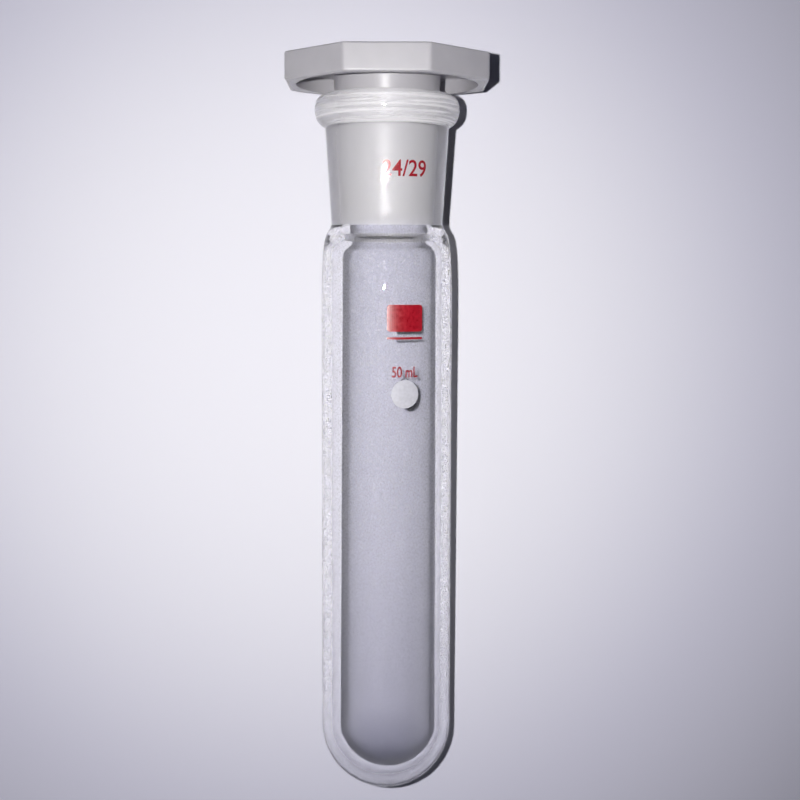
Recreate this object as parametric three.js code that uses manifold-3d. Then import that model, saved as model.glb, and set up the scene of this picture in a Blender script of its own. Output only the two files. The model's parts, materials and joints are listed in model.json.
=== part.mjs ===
// A thick-walled glass tube with a round bottom, closed by a plastic taper stopper.
//
// The open end of the tube is a 24/29 ground socket: a cone that is 24 mm wide at
// its mouth and a good 29 mm long, and narrows by 1 mm in every 10 mm. The stopper's
// plug has the same cone. Its flat octagonal head keeps the tube from rolling away.
//
// Millimetres. The parts are drawn about the tube's own axis, which is local +Y:
// y = 0 is the lowest point of the round bottom and y grows towards the stopper.
// The finished assembly is then laid down as it lies on a bench, with +Z up. The
// round bottom and one edge of the stopper's head touch the bench at z = 0, so the
// tube slopes up towards its stopper by a few degrees.

import * as THREE from 'three';
import { mergeVertices } from 'three/addons/utils/BufferGeometryUtils.js';
import Module from 'manifold-3d';

// ---- driving dimensions ----

// The ground cone that the socket and the plug share.
const CONE_MOUTH_R = 12;
const CONE_LENGTH = 29.6;
const CONE_TAPER = 1 / 10;                        // change of diameter over length
const CONE_END_R = CONE_MOUTH_R - CONE_LENGTH * CONE_TAPER / 2;

// The tube below the socket.
const BODY_R = 14.9;
const BORE_R = 12.65;
const BOTTOM_WALL = 2.6;                          // glass under the bore's lowest point
const SHOULDER_FOOT_Y = 108;                      // where the outside starts to draw in
const SHOULDER_TOP_Y = 131.0;
const BORE_TOP_Y = 122.0;                         // where the bore starts to draw in
const SEAL_R = 11.3;                              // inside, halfway up to the socket
const SEAL_Y = 127.4;

// The socket and the rounded bead round its mouth.
const MOUTH_Y = 159.6;
const LIP_WIDTH = 1.5;                            // flat of the mouth, inside the bead
const SOCKET_FOOT_R = 12.65;
const SOCKET_TOP_R = 14;
const BEAD_R = 16.35;
const BEAD_FOOT_Y = 152.2;
const BEAD_WIDEST_Y = 156.4;

// The stopper.
const HEAD_ACROSS_FLATS = 45;
const HEAD_THICKNESS = 6.2;
const HEAD_UNDER_Y = 161.8;
const HEAD_CORNER_R = 1.2;
const HEAD_EDGE_R = 0.45;
const RECESS_R = 20.4;
const RECESS_DEPTH = 3.6;
const PLUG_END_Y = 132.0;
const PLUG_WALL = 1.9;
const PLUG_LIP_CHAMFER = 0.6;
const PLUG_GAP = 0.15;                            // running gap to the socket's cone

// The enamel marks fired on the glass.
const MARK_TURN = THREE.MathUtils.degToRad(16);   // round from the top, towards +X
const MARK_GAP = 0.05;
const MARK_THICKNESS = 0.12;
const SPOT_D = 6.25;
const SPOT_Y = 93.1;
const BLOCK_WIDTH = 8.2;
const BLOCK_HEIGHT = 5.9;
const BLOCK_CORNER_R = 0.7;
const BLOCK_Y = 109.8;

const TURN_STEPS = 48;                            // facets round every turned part
const CURVE_STEPS = 5;                            // points along each curved stretch

// ---- solids: three.js geometry joined and cut ----

const wasm = await Module();
wasm.setup();

function solidOf(geometry) {
  const bare = geometry.clone();
  bare.deleteAttribute('normal');
  bare.deleteAttribute('uv');
  const merged = mergeVertices(bare, 1e-4);
  const mesh = new wasm.Mesh({
    numProp: 3,
    vertProperties: new Float32Array(merged.attributes.position.array),
    triVerts: new Uint32Array(merged.index.array),
  });
  return new wasm.Manifold(mesh);
}

function geometryOf(solid) {
  const mesh = solid.getMesh();
  const geometry = new THREE.BufferGeometry();
  geometry.setAttribute('position', new THREE.BufferAttribute(mesh.vertProperties, 3));
  geometry.setIndex(new THREE.BufferAttribute(mesh.triVerts, 1));
  geometry.computeVertexNormals();
  return geometry;
}

// Turns a path of (radius, y) points about the tube's axis.
function turned(path) {
  const points = path.getPoints(CURVE_STEPS);
  const onAxis = (point) => new THREE.Vector2(Math.max(point.x, 0), point.y);
  return new THREE.LatheGeometry(points.map(onAxis), TURN_STEPS);
}

function namedMesh(name, geometry, material) {
  const mesh = new THREE.Mesh(geometry, material);
  mesh.name = name;
  return mesh;
}

// ---- outlines ----

// The socket's cone, and the plug's, have this radius at height y.
function coneRadius(y) {
  return CONE_MOUTH_R - (MOUTH_Y - y) * CONE_TAPER / 2;
}

// A regular octagon standing on a flat, with its corners rounded.
function octagon(apothem, cornerRadius) {
  const shape = new THREE.Shape();
  const centreDistance = (apothem - cornerRadius) / Math.cos(Math.PI / 8);
  for (let corner = 0; corner < 8; corner += 1) {
    const middle = Math.PI / 8 + corner * Math.PI / 4;
    const x = centreDistance * Math.cos(middle);
    const y = centreDistance * Math.sin(middle);
    shape.absarc(x, y, cornerRadius, middle - Math.PI / 8, middle + Math.PI / 8, false);
  }
  shape.closePath();
  return shape;
}

function roundedRectangle(width, height, cornerRadius) {
  const shape = new THREE.Shape();
  const x = width / 2 - cornerRadius;
  const y = height / 2 - cornerRadius;
  const centres = [[x, y], [-x, y], [-x, -y], [x, -y]];
  centres.forEach(([centreX, centreY], corner) => {
    const from = corner * Math.PI / 2;
    shape.absarc(centreX, centreY, cornerRadius, from, from + Math.PI / 2, false);
  });
  shape.closePath();
  return shape;
}

// ---- sub-parts ----

function glassTube() {
  const path = new THREE.Path();
  // Outside: round bottom, straight wall, shoulder, socket and bead.
  path.absarc(0, BODY_R, BODY_R, -Math.PI / 2, 0, false);
  path.lineTo(BODY_R, SHOULDER_FOOT_Y);
  path.bezierCurveTo(BODY_R, 122, 14.6, 126.2, 13.85, 128.2);
  path.bezierCurveTo(13.4, 129.4, 12.75, 129.6, SOCKET_FOOT_R, SHOULDER_TOP_Y);
  path.lineTo(SOCKET_TOP_R, BEAD_FOOT_Y);
  path.bezierCurveTo(14.6, 152.9, BEAD_R, 153.2, BEAD_R, BEAD_WIDEST_Y);
  path.bezierCurveTo(BEAD_R, 158.2, 15.6, MOUTH_Y, CONE_MOUTH_R + LIP_WIDTH, MOUTH_Y);
  path.lineTo(CONE_MOUTH_R, MOUTH_Y);
  // Inside: ground cone, the widening at the seal, the bore and its round end.
  path.lineTo(CONE_END_R, MOUTH_Y - CONE_LENGTH);
  path.bezierCurveTo(10.4, 129.2, 10.6, 128.5, SEAL_R, SEAL_Y);
  path.bezierCurveTo(12, 126.3, BORE_R, 125.4, BORE_R, BORE_TOP_Y);
  path.lineTo(BORE_R, BODY_R);
  path.absellipse(0, BODY_R, BORE_R, BODY_R - BOTTOM_WALL, 0, -Math.PI / 2, true);
  return namedMesh('glass_tube', turned(path), new THREE.MeshStandardMaterial({
    color: 0xe4e6ee,
    roughness: 0.05,
    metalness: 0,
    transparent: true,
    opacity: 0.35,
  }));
}

function stopperHead() {
  const apothem = HEAD_ACROSS_FLATS / 2;
  const slab = new THREE.ExtrudeGeometry(octagon(apothem, HEAD_CORNER_R), {
    depth: HEAD_THICKNESS - 2 * HEAD_EDGE_R,
    bevelEnabled: true,
    bevelThickness: HEAD_EDGE_R,
    bevelSize: HEAD_EDGE_R,
    bevelOffset: -HEAD_EDGE_R,
    bevelSegments: 2,
    curveSegments: 2,
  });
  slab.rotateX(-Math.PI / 2);
  slab.translate(0, HEAD_UNDER_Y + HEAD_EDGE_R, 0);
  return solidOf(slab);
}

// The round hollow in the head's underside, as deep as RECESS_DEPTH.
function headRecess() {
  const overlap = 1;
  const path = new THREE.Path();
  path.moveTo(0, HEAD_UNDER_Y - overlap);
  path.lineTo(RECESS_R, HEAD_UNDER_Y - overlap);
  path.lineTo(RECESS_R, HEAD_UNDER_Y + RECESS_DEPTH);
  path.lineTo(0, HEAD_UNDER_Y + RECESS_DEPTH);
  return solidOf(turned(path));
}

// The hollow plug, open at its lower end, with its root inside the head.
function stopperPlug() {
  const plateY = HEAD_UNDER_Y + RECESS_DEPTH;
  const rootY = plateY + 1;
  const plugRadius = (y) => coneRadius(y) - PLUG_GAP;
  const endR = plugRadius(PLUG_END_Y);
  const path = new THREE.Path();
  path.moveTo(0, plateY);
  path.lineTo(plugRadius(plateY) - PLUG_WALL, plateY);
  path.lineTo(endR - PLUG_WALL, PLUG_END_Y);
  path.lineTo(endR - PLUG_LIP_CHAMFER, PLUG_END_Y);
  path.lineTo(plugRadius(PLUG_END_Y + PLUG_LIP_CHAMFER), PLUG_END_Y + PLUG_LIP_CHAMFER);
  path.lineTo(plugRadius(rootY), rootY);
  path.lineTo(0, rootY);
  return solidOf(turned(path));
}

function stopper() {
  const solid = stopperHead().subtract(headRecess()).add(stopperPlug());
  return namedMesh('stopper', geometryOf(solid), new THREE.MeshStandardMaterial({
    color: 0xd2d0da,
    roughness: 0.45,
    metalness: 0,
  }));
}

// A thin layer that follows the tube's outside, cut to the given outline.
function enamelMark(name, outline, y, material) {
  const innerR = BODY_R + MARK_GAP;
  const outerR = innerR + MARK_THICKNESS;
  const reach = 10;
  const skin = new THREE.Path();
  skin.moveTo(innerR, y - reach);
  skin.lineTo(outerR, y - reach);
  skin.lineTo(outerR, y + reach);
  skin.lineTo(innerR, y + reach);
  skin.lineTo(innerR, y - reach);
  const cutter = new THREE.ExtrudeGeometry(outline, {
    depth: BODY_R,
    bevelEnabled: false,
    curveSegments: 8,
  });
  cutter.translate(0, y, BODY_R / 2);
  cutter.rotateY(MARK_TURN);
  const solid = solidOf(turned(skin)).intersect(solidOf(cutter));
  return namedMesh(name, geometryOf(solid), material);
}

function markingSpot() {
  const outline = new THREE.Shape();
  outline.absarc(0, 0, SPOT_D / 2, 0, 2 * Math.PI, false);
  return enamelMark('marking_spot', outline, SPOT_Y, new THREE.MeshStandardMaterial({
    color: 0xf0f0f4,
    roughness: 0.6,
    metalness: 0,
  }));
}

function markBlock() {
  const outline = roundedRectangle(BLOCK_WIDTH, BLOCK_HEIGHT, BLOCK_CORNER_R);
  return enamelMark('mark_block', outline, BLOCK_Y, new THREE.MeshStandardMaterial({
    color: 0xb01c2c,
    roughness: 0.5,
    metalness: 0,
  }));
}

// ---- assembly, laid on the bench ----

// The angle at which the round bottom and the head's lowest edge both touch a plane.
function lyingAngle() {
  const rise = HEAD_ACROSS_FLATS / 2 - BODY_R;
  const run = HEAD_UNDER_Y + HEAD_EDGE_R - BODY_R;
  return Math.asin(rise / run);
}

const lying = new THREE.Group();
lying.add(glassTube(), stopper(), markingSpot(), markBlock());
lying.rotation.x = lyingAngle();

// The origin is under the middle of the object, on the bench.
const extent = new THREE.Box3().setFromObject(lying, true);
const middle = extent.getCenter(new THREE.Vector3());
lying.position.set(0, -middle.y, -extent.min.z);

const assembly = new THREE.Group();
assembly.add(lying);

export default assembly;
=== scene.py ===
"""A stoppered 24/29 glass tube lying on a pale bench, seen from straight above.

Lengths are in millimetres until they reach Blender, which works in metres.
The tube's own frame has +Y along its axis, from the round bottom to the stopper,
and +Z away from the bench. LYING turns that frame into the row frame.
"""

import json
import math

import bmesh
import bpy
import numpy as np
from mathutils import Matrix, Vector


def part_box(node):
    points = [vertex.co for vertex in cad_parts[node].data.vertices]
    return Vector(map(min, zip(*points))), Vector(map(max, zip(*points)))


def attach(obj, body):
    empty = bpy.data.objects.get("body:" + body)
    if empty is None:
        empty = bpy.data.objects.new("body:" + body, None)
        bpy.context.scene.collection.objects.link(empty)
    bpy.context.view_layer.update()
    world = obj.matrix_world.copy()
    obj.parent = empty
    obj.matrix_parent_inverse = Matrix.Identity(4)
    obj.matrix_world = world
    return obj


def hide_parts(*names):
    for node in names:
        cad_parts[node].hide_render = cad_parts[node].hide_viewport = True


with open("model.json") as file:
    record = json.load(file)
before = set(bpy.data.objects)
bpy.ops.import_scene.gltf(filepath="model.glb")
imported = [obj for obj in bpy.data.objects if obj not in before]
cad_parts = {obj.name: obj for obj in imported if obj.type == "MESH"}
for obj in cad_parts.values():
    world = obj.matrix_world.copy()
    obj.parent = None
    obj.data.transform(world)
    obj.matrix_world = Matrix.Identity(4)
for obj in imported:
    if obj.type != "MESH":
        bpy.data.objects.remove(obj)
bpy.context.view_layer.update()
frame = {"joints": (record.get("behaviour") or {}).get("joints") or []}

MM = 0.001

# ---- dimensions that the frame doesn't give ----

BODY_R = 14.9
BORE_R = 12.65
BOTTOM_WALL = 2.6
SHOULDER_FOOT_Y = 108.0
SHOULDER_TOP_Y = 131.0
BORE_TOP_Y = 122.0
SEAL_R = 11.3
SEAL_Y = 127.4

CONE_MOUTH_R = 12.0
CONE_LENGTH = 29.6
CONE_TAPER = 0.1
MOUTH_Y = 159.6
LIP_WIDTH = 1.5
SOCKET_FOOT_R = 12.65
SOCKET_TOP_R = 14.0
BEAD_R = 16.35
BEAD_FOOT_Y = 152.2
BEAD_WIDEST_Y = 156.4

HEAD_ACROSS_FLATS = 45.0
HEAD_THICKNESS = 6.2
HEAD_UNDER_Y = 161.8
HEAD_CORNER_R = 1.2
HEAD_EDGE_R = 0.5
RECESS_R = 20.4
RECESS_DEPTH = 3.6
PLUG_END_Y = 132.0
PLUG_WALL = 1.9
PLUG_GAP = 0.15

# Small roundings: the mouth's inner edge, the plug's lower edge inside and out, the root of
# the plug and the recess's corner, the top of the plug's hollow, and the recess's lip.
MOUTH_EDGE = 0.25
PLUG_INNER_EDGE = 0.3
PLUG_OUTER_EDGE = 0.6
ROOT_EDGE = 0.8
HOLLOW_EDGE = 1.0
RECESS_EDGE = 0.25

# The enamel marks. The panel, the rule and the volume are placed from the CAD's two marks.
SPOT_R = 3.12
PANEL_WIDTH = 8.2
PANEL_HEIGHT = 5.9
PANEL_CORNER_R = 0.7
RULE_HEIGHT = 0.5
RULE_CORNER_R = 0.2
RULE_BELOW_PANEL = 4.4
VOLUME_HEIGHT = 2.4
VOLUME_WIDTH = 5.9
VOLUME_ABOVE_SPOT = 4.9
JOINT_HEIGHT = 3.6
JOINT_WIDTH = 10.3
JOINT_Y = 142.45
JOINT_TURN = 0.03
STROKE_GROWTH = 0.01
ENAMEL_LIFT = 0.02
ENAMEL_THICKNESS = 0.04
LONGEST_MARK_EDGE = 0.5
BODY_MARKS_END_Y = SHOULDER_FOOT_Y + 6

# How finely the turned surfaces are divided.
TURN_STEPS = 160
OCTAGON_STEPS_PER_FLAT = 28

# ---- where the tube lies, from the frame ----


def lying_matrix():
    """The tube's own frame in the row frame, in metres: its axis is the joint's."""
    along = Vector(frame["joints"][0]["axis"]).normalized()
    across = Vector((1, 0, 0))
    up = across.cross(along)
    low = Vector(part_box("glass_tube")[0])
    centre = Vector((0, low.y + BODY_R * MM, low.z + BODY_R * MM))
    origin = centre - along * BODY_R * MM
    turn = Matrix((across, along, up)).transposed().to_4x4()
    return Matrix.Translation(origin) @ turn @ Matrix.Scale(MM, 4)


LYING = lying_matrix()
STANDING = LYING.inverted()


def in_tube_frame(node):
    """The middle of a CAD node's box in the tube's own frame, in millimetres."""
    low, high = (Vector(corner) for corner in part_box(node))
    return STANDING @ ((low + high) / 2)


# ---- outlines: lists of (radius, y) ----


def line(start, end, steps):
    share = np.linspace(0, 1, steps + 1)[:, None]
    return np.array(start) * (1 - share) + np.array(end) * share


def bezier(a, b, c, d, steps):
    t = np.linspace(0, 1, steps + 1)[:, None]
    a, b, c, d = (np.array(p, float) for p in (a, b, c, d))
    return a * (1 - t) ** 3 + 3 * b * t * (1 - t) ** 2 + 3 * c * t**2 * (1 - t) + d * t**3


def ellipse_arc(centre_y, radius, height, start, end, steps):
    """Angles in degrees: -90 is the lowest point, 0 is the widest."""
    t = np.radians(np.linspace(start, end, steps + 1))
    return np.column_stack((radius * np.cos(t), centre_y + height * np.sin(t)))


def fillet(before, corner, after, steps):
    """A rounded corner from one point to another, pulled towards corner."""
    before, corner, after = (np.array(p, float) for p in (before, corner, after))
    t = np.linspace(0, 1, steps + 1)[:, None]
    return before * (1 - t) ** 2 + 2 * corner * t * (1 - t) + after * t**2


def joined(*stretches):
    """Stretches end to end, each starting where the one before it ends."""
    return np.concatenate([stretches[0]] + [stretch[1:] for stretch in stretches[1:]])


def cone_radius(y):
    return CONE_MOUTH_R - (MOUTH_Y - y) * CONE_TAPER / 2


# ---- meshes ----


def new_object(name, verts, faces, materials, zones=None, smooth=True):
    """An object from points in the tube's frame. zones gives each face's material index."""
    mesh = bpy.data.meshes.new(name)
    mesh.from_pydata([LYING @ Vector(v) for v in verts], [], faces)
    for material in materials:
        mesh.materials.append(material)
    if zones is not None:
        mesh.polygons.foreach_set("material_index", zones)
    mesh.polygons.foreach_set("use_smooth", [smooth] * len(mesh.polygons))
    mesh.update()
    obj = bpy.data.objects.new(name, mesh)
    bpy.context.scene.collection.objects.link(obj)
    return obj


def skin(rings, closed_ends=True):
    """Faces between rings of points, each ring an (n, 3) array, with a pole at each end.

    The first and last rings are single points. Faces come out ring by ring.
    """
    verts = [tuple(rings[0][0])]
    faces = []
    owner = []
    start_of = [0]
    for ring in rings[1:-1]:
        start_of.append(len(verts))
        verts += [tuple(p) for p in ring]
    start_of.append(len(verts))
    verts.append(tuple(rings[-1][0]))
    count = len(rings[1])
    for k in range(len(rings) - 1):
        for i in range(count):
            j = (i + 1) % count
            if k == 0:
                faces.append((0, start_of[1] + j, start_of[1] + i))
            elif k == len(rings) - 2:
                faces.append((start_of[k] + i, start_of[k] + j, start_of[-1]))
            else:
                low = start_of[k]
                high = start_of[k + 1]
                faces.append((low + i, low + j, high + j, high + i))
            owner.append(k)
    return verts, faces, owner


def circle_ring(radius, y, angles):
    return np.column_stack((radius * np.sin(angles), np.full(len(angles), y), radius * np.cos(angles)))


# ---- materials ----


def nodes_of(name):
    material = bpy.data.materials.new(name)
    material.use_nodes = True
    tree = material.node_tree
    tree.nodes.clear()
    output = tree.nodes.new("ShaderNodeOutputMaterial")
    return material, tree, output


def add(tree, kind, **inputs):
    node = tree.nodes.new(kind)
    for key, value in inputs.items():
        node.inputs[key.replace("_", " ")].default_value = value
    return node


def tube_coordinates(tree, scale=(1, 1, 1)):
    """Place in the tube's own frame, in millimetres, stretched by scale."""
    place = tree.nodes.new("ShaderNodeTexCoord")
    stand = tree.nodes.new("ShaderNodeMapping")
    stand.inputs["Location"].default_value = STANDING.to_translation()
    stand.inputs["Rotation"].default_value = STANDING.to_euler()
    stand.inputs["Scale"].default_value = STANDING.to_scale()
    stretch = tree.nodes.new("ShaderNodeMapping")
    stretch.inputs["Scale"].default_value = scale
    tree.links.new(place.outputs["Object"], stand.inputs["Vector"])
    tree.links.new(stand.outputs["Vector"], stretch.inputs["Vector"])
    return stretch.outputs["Vector"]


def noise(tree, coordinates, scale, detail=2.0, roughness=0.5):
    node = add(tree, "ShaderNodeTexNoise", Scale=scale, Detail=detail, Roughness=roughness)
    tree.links.new(coordinates, node.inputs["Vector"])
    return node.outputs["Fac"]


def ramp(tree, factor, stops):
    """A colour ramp. stops is a list of (position, colour or grey)."""
    node = tree.nodes.new("ShaderNodeValToRGB")
    elements = node.color_ramp.elements
    while len(elements) < len(stops):
        elements.new(0.5)
    for element, (position, colour) in zip(elements, stops):
        element.position = position
        grey = isinstance(colour, (int, float))
        element.color = (colour, colour, colour, 1) if grey else (*colour, 1)
    tree.links.new(factor, node.inputs["Fac"])
    return node.outputs["Color"]


def bump(tree, height, strength, distance):
    node = add(tree, "ShaderNodeBump", Strength=strength, Distance=distance)
    tree.links.new(height, node.inputs["Height"])
    return node.outputs["Normal"]


# Over how many millimetres the light through the wall changes, and how fast the bore's white specks,
# which are painted light, fade along the tube.
LIGHT_SPAN = 30
SPECK_FADE_PER_MM = 0.01


def bent_light(tree):
    """How much light the tube's wall lets onto the bench, by place across and along the tube.

    It is tuned to the look of the light on the bench and doesn't follow from the glass.
    """
    parts = tree.nodes.new("ShaderNodeSeparateXYZ")
    scale = (1 / LIGHT_SPAN, 1 / LIGHT_SPAN, 1 / LIGHT_SPAN)
    tree.links.new(tube_coordinates(tree, scale), parts.inputs["Vector"])
    middle = tree.nodes.new("ShaderNodeMath")
    middle.operation = "ADD"
    middle.inputs[1].default_value = 0.5
    tree.links.new(parts.outputs["X"], middle.inputs[0])
    across = ramp(tree, middle.outputs["Value"], [(0.1, 1.0), (0.3, 0.96), (0.5, 0.92), (0.9, 0.88)])
    along = ramp(tree, parts.outputs["Y"], [(0.18, (0.75, 0.755, 0.79)), (0.5, (0.98, 0.98, 1.0))])
    both = tree.nodes.new("ShaderNodeVectorMath")
    both.operation = "MULTIPLY"
    tree.links.new(across, both.inputs[0])
    tree.links.new(along, both.inputs[1])
    return both.outputs["Vector"]


def glass(name, shadow_stops, roughness_stops, bump_scale, bump_distance, milk_and_painted_specks=None, bent=False):
    """Borosilicate glass. Light passes it by shadow_stops, darker where it meets at a slant.

    The white share gives the surface's milky share, its colour and the scale of its specks:
    real milkiness on the bead and the ground glass, and on the bore white specks that are
    painted light, standing in for the mottled light seen through the tube. Where the glass
    is bent, bent_light dims what passes, and the bore's painted specks fade towards the
    round bottom.
    """
    material, tree, output = nodes_of(name)
    body = add(tree, "ShaderNodeBsdfPrincipled", Metallic=0.0, IOR=1.473)
    body.inputs["Base Color"].default_value = (0.985, 0.985, 0.995, 1)
    body.inputs["Transmission Weight"].default_value = 1.0
    streaks = noise(tree, tube_coordinates(tree, bump_scale), 1.0, 3.0)
    smudges = noise(tree, tube_coordinates(tree), 0.09, 4.0)
    tree.links.new(ramp(tree, smudges, roughness_stops), body.inputs["Roughness"])
    tree.links.new(bump(tree, streaks, 1.0, bump_distance), body.inputs["Normal"])
    surface = body.outputs["BSDF"]
    if milk_and_painted_specks is not None:
        share, colour, grain_scale = milk_and_painted_specks
        grain = noise(tree, tube_coordinates(tree), 6.0, 3.0)
        white = add(tree, "ShaderNodeBsdfDiffuse", Roughness=0.4)
        tone = ramp(tree, grain, [(0.3, tuple(0.93 * c for c in colour)), (0.7, colour)])
        tree.links.new(tone, white.inputs["Color"])
        blend = tree.nodes.new("ShaderNodeMixShader")
        specks = noise(tree, tube_coordinates(tree, grain_scale), 1.0, 3.0)
        share_here = ramp(tree, specks, share)
        # On the bore these white specks are painted light, and they fade towards the round bottom.
        if bent:
            parts = tree.nodes.new("ShaderNodeSeparateXYZ")
            scale = (SPECK_FADE_PER_MM, SPECK_FADE_PER_MM, SPECK_FADE_PER_MM)
            tree.links.new(tube_coordinates(tree, scale), parts.inputs["Vector"])
            fade = tree.nodes.new("ShaderNodeMath")
            fade.operation = "MULTIPLY"
            tree.links.new(share_here, fade.inputs[0])
            tree.links.new(ramp(tree, parts.outputs["Y"], [(0.15, 0.12), (0.75, 1.0)]), fade.inputs[1])
            share_here = fade.outputs["Value"]
        tree.links.new(share_here, blend.inputs["Fac"])
        tree.links.new(surface, blend.inputs[1])
        tree.links.new(white.outputs["BSDF"], blend.inputs[2])
        surface = blend.outputs["Shader"]
    slant = add(tree, "ShaderNodeLayerWeight", Blend=0.5)
    passed = tree.nodes.new("ShaderNodeBsdfTransparent")
    dimmed = ramp(tree, slant.outputs["Facing"], shadow_stops)
    if bent:
        shaded = tree.nodes.new("ShaderNodeVectorMath")
        shaded.operation = "MULTIPLY"
        tree.links.new(dimmed, shaded.inputs[0])
        tree.links.new(bent_light(tree), shaded.inputs[1])
        dimmed = shaded.outputs["Vector"]
    tree.links.new(dimmed, passed.inputs["Color"])
    path = tree.nodes.new("ShaderNodeLightPath")
    either = tree.nodes.new("ShaderNodeMath")
    either.operation = "MAXIMUM"
    tree.links.new(path.outputs["Is Shadow Ray"], either.inputs[0])
    tree.links.new(path.outputs["Is Diffuse Ray"], either.inputs[1])
    lit = tree.nodes.new("ShaderNodeMixShader")
    tree.links.new(either.outputs["Value"], lit.inputs["Fac"])
    tree.links.new(surface, lit.inputs[1])
    tree.links.new(passed.outputs["BSDF"], lit.inputs[2])
    tree.links.new(lit.outputs["Shader"], output.inputs["Surface"])
    return material


def clear_glass():
    return glass(
        "clear_glass",
        [(0.0, 1.0), (0.06, 0.96), (0.2, 0.85), (0.35, 0.68), (0.5, 0.4), (1.0, 0.3)],
        [(0.3, 0.0), (0.8, 0.012)],
        (0.9, 0.012, 0.9),
        2e-6,
        bent=True,
    )


def bore_glass():
    return glass(
        "bore_glass",
        [(0.0, 1.0), (0.6, 0.98), (1.0, 0.75)],
        [(0.3, 0.0), (0.8, 0.015)],
        (0.8, 0.01, 0.8),
        3e-6,
        # The white specks on the bore are painted light: they stand in for the mottled light seen
        # through the tube.
        milk_and_painted_specks=([(0.46, 0.0), (0.74, 0.18)], (0.88, 0.88, 0.96), (2.6, 2.2, 2.6)),
        bent=True,
    )


def socket_glass():
    return glass(
        "socket_glass",
        [(0.0, 0.9), (0.3, 0.75), (0.5, 0.16), (1.0, 0.1)],
        [(0.3, 0.0), (0.8, 0.015)],
        (0.9, 0.05, 0.9),
        2e-6,
    )


def bead_glass():
    """Fire-polished and faintly milky, with fine rings left by the tool that shaped it."""
    return glass(
        "bead_glass",
        [(0.0, 0.9), (0.3, 0.75), (0.5, 0.16), (1.0, 0.1)],
        [(0.3, 0.03), (0.8, 0.08)],
        (0.04, 1.3, 0.04),
        3e-5,
        milk_and_painted_specks=([(0.38, 0.12), (0.5, 0.26), (0.62, 0.6)], (0.86, 0.85, 0.88), (0.04, 1.3, 0.04)),
    )


def ground_glass():
    return glass(
        "ground_glass",
        [(0.0, 0.75), (0.4, 0.4), (1.0, 0.2)],
        [(0.3, 0.5), (0.7, 0.62)],
        (3.0, 3.0, 3.0),
        1e-5,
        milk_and_painted_specks=([(0.3, 0.46), (0.7, 0.56)], (0.88, 0.87, 0.91), (3.0, 3.0, 3.0)),
    )


def stopper_plastic():
    material, tree, output = nodes_of("stopper_plastic")
    body = add(tree, "ShaderNodeBsdfPrincipled", Metallic=0.0, IOR=1.49)
    body.inputs["Subsurface Weight"].default_value = 0.12
    body.inputs["Subsurface Radius"].default_value = (0.0012, 0.0011, 0.0010)
    body.inputs["Subsurface Scale"].default_value = 1.0
    place = tube_coordinates(tree)
    mottle = noise(tree, place, 0.12, 4.0)
    tone = ramp(tree, mottle, [(0.3, (0.415, 0.405, 0.435)), (0.7, (0.455, 0.445, 0.475))])
    tree.links.new(tone, body.inputs["Base Color"])
    grain = noise(tree, place, 4.5, 5.0, 0.6)
    tree.links.new(ramp(tree, grain, [(0.3, 0.27), (0.7, 0.36)]), body.inputs["Roughness"])
    tree.links.new(bump(tree, grain, 1.0, 4e-6), body.inputs["Normal"])
    tree.links.new(body.outputs["BSDF"], output.inputs["Surface"])
    return material


def enamel(name, dark, light, roughness):
    """A fired print: its colour is a little uneven, with a fine orange-peel surface."""
    material, tree, output = nodes_of(name)
    body = add(tree, "ShaderNodeBsdfPrincipled", Metallic=0.0, IOR=1.5)
    place = tube_coordinates(tree)
    patches = noise(tree, place, 1.6, 4.0)
    tree.links.new(ramp(tree, patches, [(0.35, dark), (0.65, light)]), body.inputs["Base Color"])
    tree.links.new(
        ramp(tree, patches, [(0.3, roughness - 0.08), (0.7, roughness + 0.08)]),
        body.inputs["Roughness"],
    )
    peel = noise(tree, place, 9.0, 3.0)
    tree.links.new(bump(tree, peel, 1.0, 4e-6), body.inputs["Normal"])
    tree.links.new(body.outputs["BSDF"], output.inputs["Surface"])
    return material


# ---- the glass tube ----

# The glass's finishes, in the order of the tube's materials.
CLEAR, SOCKET, BEAD, GROUND, BORE = range(5)


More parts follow.
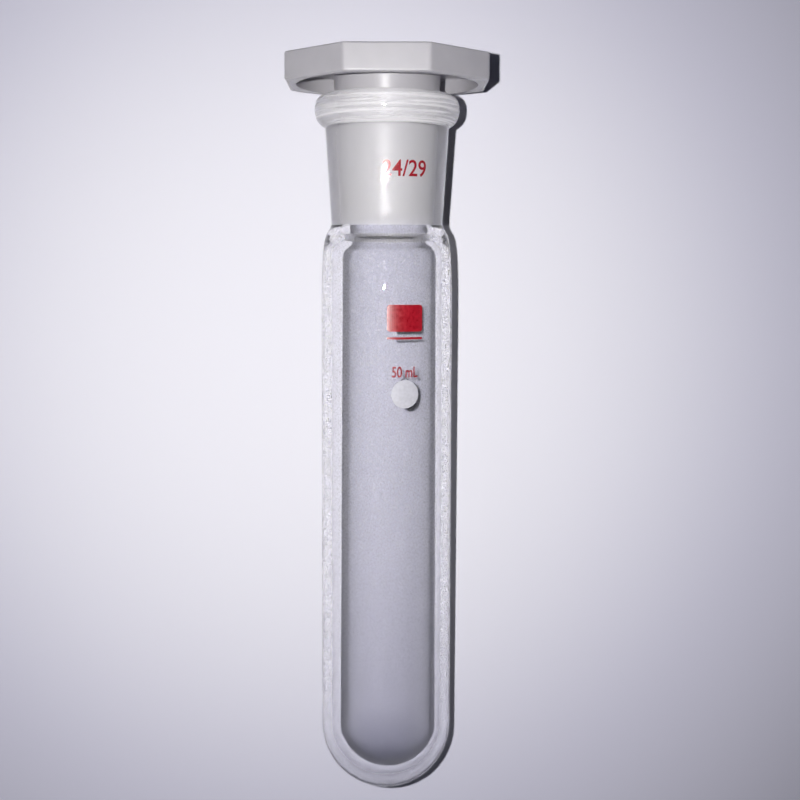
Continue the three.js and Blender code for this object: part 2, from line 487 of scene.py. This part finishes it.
def tube_outline():
    """Stretches of the tube's outline with their zones, from the bottom, over the mouth and in."""
    cone_end = (CONE_MOUTH_R - CONE_LENGTH * CONE_TAPER / 2, MOUTH_Y - CONE_LENGTH)
    shoulder = (13.85, 128.2)
    neck = (SOCKET_FOOT_R, SHOULDER_TOP_Y)
    bead_foot = (SOCKET_TOP_R, BEAD_FOOT_Y)
    bead_middle = (BEAD_R, BEAD_WIDEST_Y)
    lip = (CONE_MOUTH_R + LIP_WIDTH, MOUTH_Y)
    body = joined(
        ellipse_arc(BODY_R, BODY_R, BODY_R, -90, 0, 40),
        line((BODY_R, BODY_R), (BODY_R, SHOULDER_FOOT_Y), 40),
        bezier((BODY_R, SHOULDER_FOOT_Y), (BODY_R, 122), (14.6, 126.2), shoulder, 20),
        bezier(shoulder, (13.4, 129.4), (12.75, 129.6), neck, 12),
    )
    socket = line(neck, bead_foot, 12)
    bead = joined(
        bezier(bead_foot, (14.6, 152.9), (BEAD_R, 153.2), bead_middle, 20),
        bezier(bead_middle, (BEAD_R, 158.2), (15.6, MOUTH_Y), lip, 20),
        line(lip, (CONE_MOUTH_R + MOUTH_EDGE, MOUTH_Y), 3),
    )
    inner_lip = (cone_radius(MOUTH_Y - MOUTH_EDGE), MOUTH_Y - MOUTH_EDGE)
    mouth = fillet(bead[-1], (CONE_MOUTH_R, MOUTH_Y), inner_lip, 3)
    ground = line(mouth[-1], cone_end, 16)
    inside = joined(
        bezier(cone_end, (10.4, 129.2), (10.6, 128.5), (SEAL_R, SEAL_Y), 14),
        bezier((SEAL_R, SEAL_Y), (12.0, 126.3), (BORE_R, 125.4), (BORE_R, BORE_TOP_Y), 14),
        line((BORE_R, BORE_TOP_Y), (BORE_R, BODY_R), 40),
        ellipse_arc(BODY_R, BORE_R, BODY_R - BOTTOM_WALL, 0, -90, 40),
    )
    return [
        (body, CLEAR),
        (socket, SOCKET),
        (bead, BEAD),
        (mouth, GROUND),
        (ground, GROUND),
        (inside, BORE),
    ]


def tube_glass():
    angles = np.linspace(0, 2 * math.pi, TURN_STEPS, endpoint=False)
    rings = []
    zones = []
    for stretch, zone in tube_outline():
        for radius, y in stretch if not rings else stretch[1:]:
            rings.append(circle_ring(max(radius, 0.0), y, angles))
            zones.append(zone)
    verts, faces, owner = skin(rings)
    face_zones = [zones[k + 1] for k in owner]
    materials = [clear_glass(), socket_glass(), bead_glass(), ground_glass(), bore_glass()]
    return new_object("tube_glass", verts, faces, materials, face_zones)


# ---- the stopper ----


def octagon_angles(steps_per_flat):
    """Angles round the head, closer together near its corners."""
    share = np.linspace(-1, 1, steps_per_flat, endpoint=False)
    eased = np.sign(share) * (1 - (1 - np.abs(share)) ** 1.6)
    return np.concatenate([math.pi / 4 * flat + math.pi / 8 * eased for flat in range(8)])


def octagon_radius(apothem, corner_r, angles):
    """Distance from the middle to a regular octagon with rounded corners."""
    off_flat = (angles + math.pi / 8) % (math.pi / 4) - math.pi / 8
    to_flat = apothem / np.cos(off_flat)
    off_corner = math.pi / 8 - np.abs(off_flat)
    centre = (apothem - corner_r) / math.cos(math.pi / 8)
    to_arc = centre * np.cos(off_corner) + np.sqrt(
        np.maximum(corner_r**2 - (centre * np.sin(off_corner)) ** 2, 0)
    )
    half_arc = math.atan2(
        corner_r * math.sin(math.pi / 8), centre + corner_r * math.cos(math.pi / 8)
    )
    return np.where(off_corner < half_arc, to_arc, to_flat)


def stopper_moulding():
    angles = octagon_angles(OCTAGON_STEPS_PER_FLAT)
    plate_y = HEAD_UNDER_Y + RECESS_DEPTH
    top_y = HEAD_UNDER_Y + HEAD_THICKNESS
    apothem = HEAD_ACROSS_FLATS / 2
    end_r = cone_radius(PLUG_END_Y) - PLUG_GAP
    root_r = cone_radius(plate_y) - PLUG_GAP
    rim_r = RECESS_R + RECESS_EDGE
    hollow_end_r = end_r - PLUG_WALL
    hollow_root_r = root_r - PLUG_WALL
    cone_foot_y = PLUG_END_Y + PLUG_OUTER_EDGE
    cone_top_y = plate_y - ROOT_EDGE
    cone_foot = (cone_radius(cone_foot_y) - PLUG_GAP, cone_foot_y)
    cone_top = (cone_radius(cone_top_y) - PLUG_GAP, cone_top_y)
    ceiling_edge = (hollow_root_r - HOLLOW_EDGE, plate_y)
    hollow_top = (hollow_root_r, plate_y - HOLLOW_EDGE)
    hollow_foot = (hollow_end_r, PLUG_END_Y + PLUG_INNER_EDGE)
    end_inside = (hollow_end_r + PLUG_INNER_EDGE, PLUG_END_Y)
    end_outside = (end_r - PLUG_OUTER_EDGE, PLUG_END_Y)
    recess_root = (root_r + ROOT_EDGE, plate_y)
    recess_edge = (RECESS_R - ROOT_EDGE, plate_y)
    recess_wall = (RECESS_R, plate_y - ROOT_EDGE)
    recess_lip = (RECESS_R, HEAD_UNDER_Y + RECESS_EDGE)
    round_part = joined(
        line((0, plate_y), ceiling_edge, 6),
        fillet(ceiling_edge, (hollow_root_r, plate_y), hollow_top, 6),
        line(hollow_top, hollow_foot, 24),
        fillet(hollow_foot, (hollow_end_r, PLUG_END_Y), end_inside, 4),
        line(end_inside, end_outside, 3),
        fillet(end_outside, (end_r, PLUG_END_Y), cone_foot, 5),
        line(cone_foot, cone_top, 30),
        fillet(cone_top, (root_r, plate_y), recess_root, 6),
        line(recess_root, recess_edge, 8),
        fillet(recess_edge, (RECESS_R, plate_y), recess_wall, 6),
        line(recess_wall, recess_lip, 4),
        fillet(recess_lip, (RECESS_R, HEAD_UNDER_Y), (rim_r, HEAD_UNDER_Y), 4),
    )
    rings = [circle_ring(radius, y, angles) for radius, y in round_part]
    rim = octagon_radius(apothem - HEAD_EDGE_R, HEAD_CORNER_R - HEAD_EDGE_R, angles)
    for share in (0.35, 0.7, 1.0):
        rings.append(circle_ring(rim_r + (rim - rim_r) * share, HEAD_UNDER_Y, angles))
    for y_middle, start, end in ((HEAD_UNDER_Y + HEAD_EDGE_R, -90, 0), (top_y - HEAD_EDGE_R, 0, 90)):
        for turn in np.radians(np.linspace(start, end, 7)):
            out = HEAD_EDGE_R * math.cos(turn)
            outline = octagon_radius(
                apothem - HEAD_EDGE_R + out, HEAD_CORNER_R - HEAD_EDGE_R + out, angles
            )
            rings.append(circle_ring(outline, y_middle + HEAD_EDGE_R * math.sin(turn), angles))
    for share in (0.97, 0.7, 0.4, 0.15):
        rings.append(circle_ring(rim * share, top_y, angles))
    rings.append(circle_ring(0, top_y, angles))
    verts, faces, _ = skin(rings)
    obj = new_object("stopper_moulding", verts, faces, [stopper_plastic()])
    even = obj.modifiers.new("even_shading", "WEIGHTED_NORMAL")
    even.keep_sharp = True
    return obj


# ---- the enamel marks ----


def outer_radius(y):
    """The outside of the glass where the marks are: the socket's cone or the body."""
    if y < BODY_MARKS_END_Y:
        return BODY_R
    share = (y - SHOULDER_TOP_Y) / (BEAD_FOOT_Y - SHOULDER_TOP_Y)
    return SOCKET_FOOT_R + (SOCKET_TOP_R - SOCKET_FOOT_R) * share


def wrapped(name, flat_mesh, turn, y_middle, material):
    """A flat outline, thickened and bent round the glass."""
    shape = bmesh.new()
    shape.from_mesh(flat_mesh)
    bmesh.ops.triangulate(shape, faces=shape.faces)
    for _ in range(4):
        long_edges = [e for e in shape.edges if e.calc_length() > LONGEST_MARK_EDGE]
        if not long_edges:
            break
        bmesh.ops.subdivide_edges(shape, edges=long_edges, cuts=1)
        bmesh.ops.triangulate(shape, faces=shape.faces)
    flat = [v.co.copy() for v in shape.verts]
    triangles = [tuple(v.index for v in f.verts) for f in shape.faces]
    shape.verts.index_update()
    border = [tuple(v.index for v in e.verts) for e in shape.edges if e.is_boundary]
    shape.free()
    count = len(flat)
    verts = []
    for lift in (ENAMEL_LIFT, ENAMEL_LIFT + ENAMEL_THICKNESS):
        for point in flat:
            y = y_middle + point.y
            radius = outer_radius(y) + lift
            angle = turn + point.x / radius
            verts.append((radius * math.sin(angle), y, radius * math.cos(angle)))
    faces = [(a, c, b) for a, b, c in triangles]
    faces += [(a + count, b + count, c + count) for a, b, c in triangles]
    faces += [(a, b, b + count, a + count) for a, b in border]
    obj = new_object(name, verts, faces, [material], smooth=False)
    tidy = bmesh.new()
    tidy.from_mesh(obj.data)
    bmesh.ops.recalc_face_normals(tidy, faces=tidy.faces)
    tidy.to_mesh(obj.data)
    tidy.free()
    return obj


def flat_outline(name, points):
    mesh = bpy.data.meshes.new(name)
    mesh.from_pydata([(x, y, 0) for x, y in points], [], [tuple(range(len(points)))])
    return mesh


def flat_text(name, text, height, width):
    """Numerals as a flat mesh, centred, height tall and width wide."""
    curve = bpy.data.curves.new(name, "FONT")
    curve.body = text
    curve.size = 1.0
    curve.resolution_u = 6
    curve.offset = STROKE_GROWTH
    holder = bpy.data.objects.new(name + "_outline", curve)
    bpy.context.scene.collection.objects.link(holder)
    bpy.context.view_layer.update()
    mesh = bpy.data.meshes.new_from_object(holder.evaluated_get(bpy.context.evaluated_depsgraph_get()))
    bpy.data.objects.remove(holder)
    points = np.array([v.co for v in mesh.vertices])
    low = points.min(0)
    high = points.max(0)
    middle = (low + high) / 2
    scale = (width / (high[0] - low[0]), height / (high[1] - low[1]))
    for vertex in mesh.vertices:
        vertex.co.x = (vertex.co.x - middle[0]) * scale[0]
        vertex.co.y = (vertex.co.y - middle[1]) * scale[1]
        vertex.co.z = 0
    return mesh


def rounded_rectangle(width, height, corner_r, steps=6):
    points = []
    x = width / 2 - corner_r
    y = height / 2 - corner_r
    for corner, (cx, cy) in enumerate(((x, y), (-x, y), (-x, -y), (x, -y))):
        for turn in np.linspace(0, math.pi / 2, steps) + corner * math.pi / 2:
            points.append((cx + corner_r * math.cos(turn), cy + corner_r * math.sin(turn)))
    return points


def marks():
    red = enamel("red_enamel", (0.26, 0.002, 0.01), (0.36, 0.004, 0.016), 0.34)
    white = enamel("white_enamel", (0.46, 0.46, 0.52), (0.53, 0.53, 0.6), 0.5)
    spot_at = in_tube_frame("marking_spot")
    block_at = in_tube_frame("mark_block")
    turn = math.atan2(spot_at.x, spot_at.z)
    around = np.linspace(0, 2 * math.pi, 64, endpoint=False)
    circle = [(SPOT_R * math.cos(t), SPOT_R * math.sin(t)) for t in around]
    panel_outline = rounded_rectangle(PANEL_WIDTH, PANEL_HEIGHT, PANEL_CORNER_R)
    rule_outline = rounded_rectangle(PANEL_WIDTH, RULE_HEIGHT, RULE_CORNER_R)
    rule_y = block_at.y - RULE_BELOW_PANEL
    volume_y = spot_at.y + VOLUME_ABOVE_SPOT
    spot = wrapped("writing_spot", flat_outline("spot", circle), turn, spot_at.y, white)
    block = wrapped("mark_panel", flat_outline("panel", panel_outline), turn, block_at.y, red)
    rule = wrapped("mark_rule", flat_outline("rule", rule_outline), turn, rule_y, red)
    volume_flat = flat_text("volume", "50 mL", VOLUME_HEIGHT, VOLUME_WIDTH)
    volume = wrapped("volume_numerals", volume_flat, turn, volume_y, red)
    joint_flat = flat_text("joint", "24/29", JOINT_HEIGHT, JOINT_WIDTH)
    joint = wrapped("joint_numerals", joint_flat, turn + JOINT_TURN, JOINT_Y, red)
    joint.visible_shadow = False
    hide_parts("marking_spot")
    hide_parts("mark_block")
    for piece in (spot, block, rule, volume, joint):
        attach(piece, "tube")


# ---- floor, light and camera ----


BENCH_HALF = 3.0

# The bench's grain is far finer than a pixel, so the bench looks plain.
BENCH_GRAIN_SCALE = 2600.0
BENCH_GRAIN_DEPTH = 1.5e-5


def bench():
    mesh = bpy.data.meshes.new("bench")
    half = BENCH_HALF
    corners = [(-half, -half, 0), (half, -half, 0), (half, half, 0), (-half, half, 0)]
    mesh.from_pydata(corners, [], [(0, 1, 2, 3)])
    obj = bpy.data.objects.new("bench", mesh)
    bpy.context.scene.collection.objects.link(obj)
    material, tree, output = nodes_of("bench_top")
    body = add(tree, "ShaderNodeBsdfPrincipled", Metallic=0.0, IOR=1.45)
    place = tube_coordinates(tree)
    fine = noise(tree, place, BENCH_GRAIN_SCALE, 3.0, 0.6)
    tone = ramp(tree, fine, [(0.3, (0.72, 0.715, 0.8)), (0.7, (0.8, 0.795, 0.88))])
    tree.links.new(tone, body.inputs["Base Color"])
    body.inputs["Roughness"].default_value = 0.55
    tree.links.new(bump(tree, fine, 1.0, BENCH_GRAIN_DEPTH), body.inputs["Normal"])
    tree.links.new(body.outputs["BSDF"], output.inputs["Surface"])
    mesh.materials.append(material)


CAMERA_AT = Vector((0.0010, 0.01725, 0.341))
CAMERA_TURN = tuple(math.radians(a) for a in (-2.0, -0.37, 0.14))
LENS = 63.0


def camera():
    data = bpy.data.cameras.new("camera")
    data.lens = LENS
    data.sensor_width = 36.0
    obj = bpy.data.objects.new("camera", data)
    obj.location = CAMERA_AT
    obj.rotation_euler = CAMERA_TURN
    bpy.context.scene.collection.objects.link(obj)
    bpy.context.scene.camera = obj


# One small flash beside the camera. Its light fades outwards, so it is two cones in one place.
FLASH_R = 0.0028
FLASH_FROM_CAMERA = Vector((-0.0245, 0.006, 0.0))
FLASH_TURN = (math.radians(-0.7), math.radians(-0.9), 0)
PALE_LIGHT = (1.0, 0.985, 1.05)
KEYS = (
    ("key_wide", 73, 4.05, PALE_LIGHT),
    ("key_core", 40, 0.88, (1.0, 1.0, 0.55)),
)


def lamps():
    for name, cone, energy, colour in KEYS:
        data = bpy.data.lights.new(name, "SPOT")
        data.shadow_soft_size = FLASH_R
        data.spot_size = math.radians(cone)
        data.spot_blend = 1.0
        data.energy = energy
        data.color = colour
        key = bpy.data.objects.new(name, data)
        key.location = CAMERA_AT + FLASH_FROM_CAMERA
        key.rotation_euler = FLASH_TURN
        bpy.context.scene.collection.objects.link(key)


# Ceiling lamps in a ring. They light the bench round the object but do not reach the object.
CEILING_LAMPS = 6
CEILING_HEIGHT = 0.75
CEILING_RING_R = 0.7
CEILING_LAMP_R = 0.05
CEILING_CONE = 76
CEILING_BLEND = 0.6
CEILING_WATTS = 15.0


def ceiling_lamps():
    for index in range(CEILING_LAMPS):
        name = f"ceiling_{index}"
        data = bpy.data.lights.new(name, "SPOT")
        data.shadow_soft_size = CEILING_LAMP_R
        data.spot_size = math.radians(CEILING_CONE)
        data.spot_blend = CEILING_BLEND
        data.energy = CEILING_WATTS
        data.color = PALE_LIGHT
        lamp = bpy.data.objects.new(name, data)
        turn = 2 * math.pi * index / CEILING_LAMPS
        across = CEILING_RING_R * math.cos(turn)
        along = CEILING_RING_R * math.sin(turn)
        lamp.location = (across, along, CEILING_HEIGHT)
        lamp.visible_glossy = False
        lamp.visible_transmission = False
        bpy.context.scene.collection.objects.link(lamp)


def surroundings():
    """Dark overhead and pale round the horizon, like a room with pale walls."""
    world = bpy.data.worlds.new("room")
    world.use_nodes = True
    tree = world.node_tree
    tree.nodes.clear()
    output = tree.nodes.new("ShaderNodeOutputWorld")
    sky = tree.nodes.new("ShaderNodeBackground")
    place = tree.nodes.new("ShaderNodeTexCoord")
    split = tree.nodes.new("ShaderNodeSeparateXYZ")
    tree.links.new(place.outputs["Generated"], split.inputs["Vector"])
    stops = [
        (0.0, (0.52, 0.515, 0.56)),
        (0.25, (0.5, 0.5, 0.55)),
        (0.6, (0.05, 0.05, 0.065)),
        (1.0, (0.01, 0.012, 0.02)),
    ]
    tree.links.new(ramp(tree, split.outputs["Z"], stops), sky.inputs["Color"])
    fill = add(tree, "ShaderNodeBackground", Strength=1.0)
    fill.inputs["Color"].default_value = (0.0015, 0.003, 0.008, 1)
    path = tree.nodes.new("ShaderNodeLightPath")
    seen = tree.nodes.new("ShaderNodeMixShader")
    tree.links.new(path.outputs["Is Diffuse Ray"], seen.inputs["Fac"])
    tree.links.new(sky.outputs["Background"], seen.inputs[1])
    tree.links.new(fill.outputs["Background"], seen.inputs[2])
    tree.links.new(seen.outputs["Shader"], output.inputs["Surface"])
    bpy.context.scene.world = world


camera()
tube = tube_glass()
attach(tube, "tube")
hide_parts("glass_tube")
plug = stopper_moulding()
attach(plug, "stopper")
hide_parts("stopper")
marks()
bench()
lamps()
ceiling_lamps()
surroundings()
bpy.context.scene.view_settings.view_transform = "Standard"
